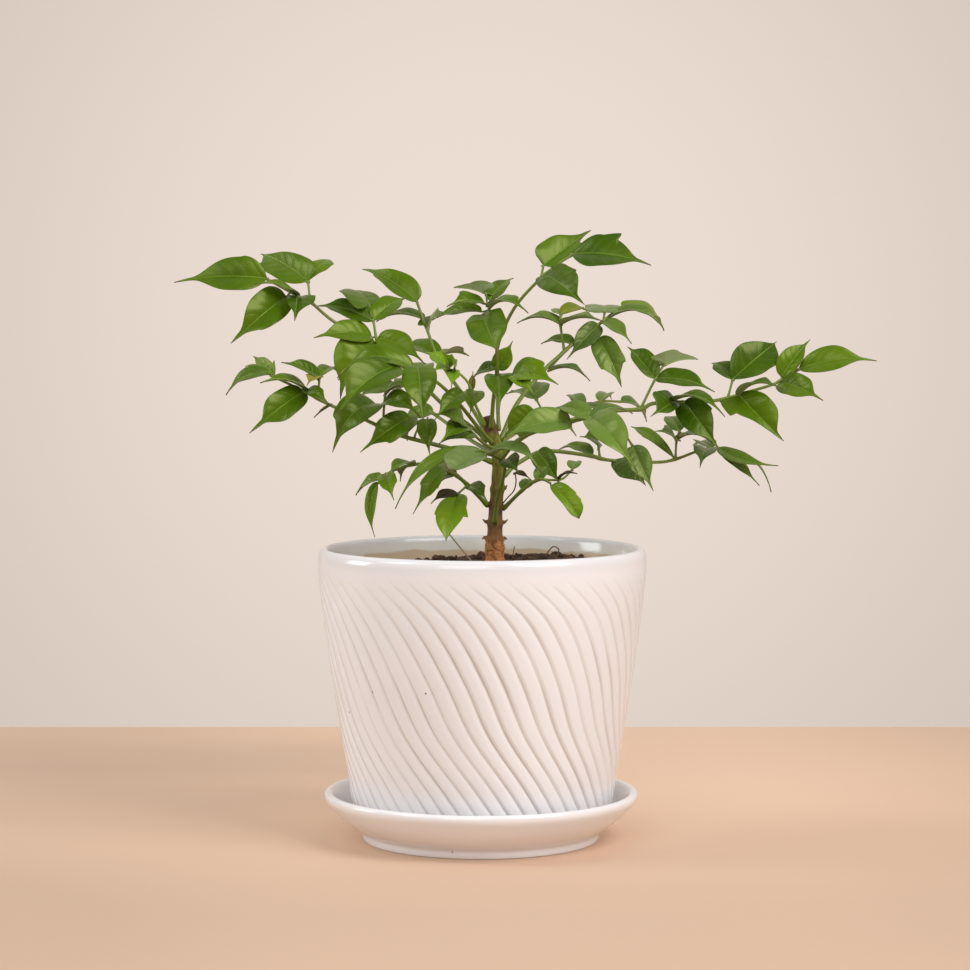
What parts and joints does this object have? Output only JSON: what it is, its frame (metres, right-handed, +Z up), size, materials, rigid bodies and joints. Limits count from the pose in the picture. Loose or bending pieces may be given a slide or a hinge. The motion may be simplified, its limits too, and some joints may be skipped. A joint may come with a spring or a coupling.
{
  "type": "potted plant",
  "caption": "Bushy compound-leaved houseplant on a woody trunk, in a white ceramic pot with swirled grooves on a round saucer.",
  "frame": {"origin": "centre of the saucer's flat foot, on the surface that it rests on", "axes": "+Z up, the pictured front towards -Y, +X to the right as seen from the front"},
  "size_m": [0.2765, 0.159, 0.2453],
  "materials": {
    "pot_glaze": "glossy white glaze",
    "saucer_glaze": "glossy white glaze",
    "soil": "loose dark potting soil",
    "bark": "rough bark",
    "leaf": "soft gloss green leaf",
    "rear_leaf": "soft gloss green leaf",
    "young_leaf": "soft gloss lime leaf"
  },
  "bodies": {
    "root": {"saucer": "saucer_glaze", "pot": "pot_glaze", "soil": "soil", "trunk": "bark", "frond_upper_left": "leaf", "frond_upper_centre": "leaf", "frond_front_left": "leaf", "frond_left": "leaf", "frond_front_centre": "leaf", "frond_top": "leaf", "frond_upper_right": "rear_leaf", "frond_right": "leaf", "frond_right_rear": "rear_leaf", "frond_front_right": "leaf", "frond_front_low": "leaf", "leafy_stem_low_right": "leaf", "leafy_stem_low_left": "leaf", "young_shoot": "young_leaf", "frond_inner": "leaf", "frond_rear": "rear_leaf", "frond_rear_left": "rear_leaf"}
  },
  "joints": []
}
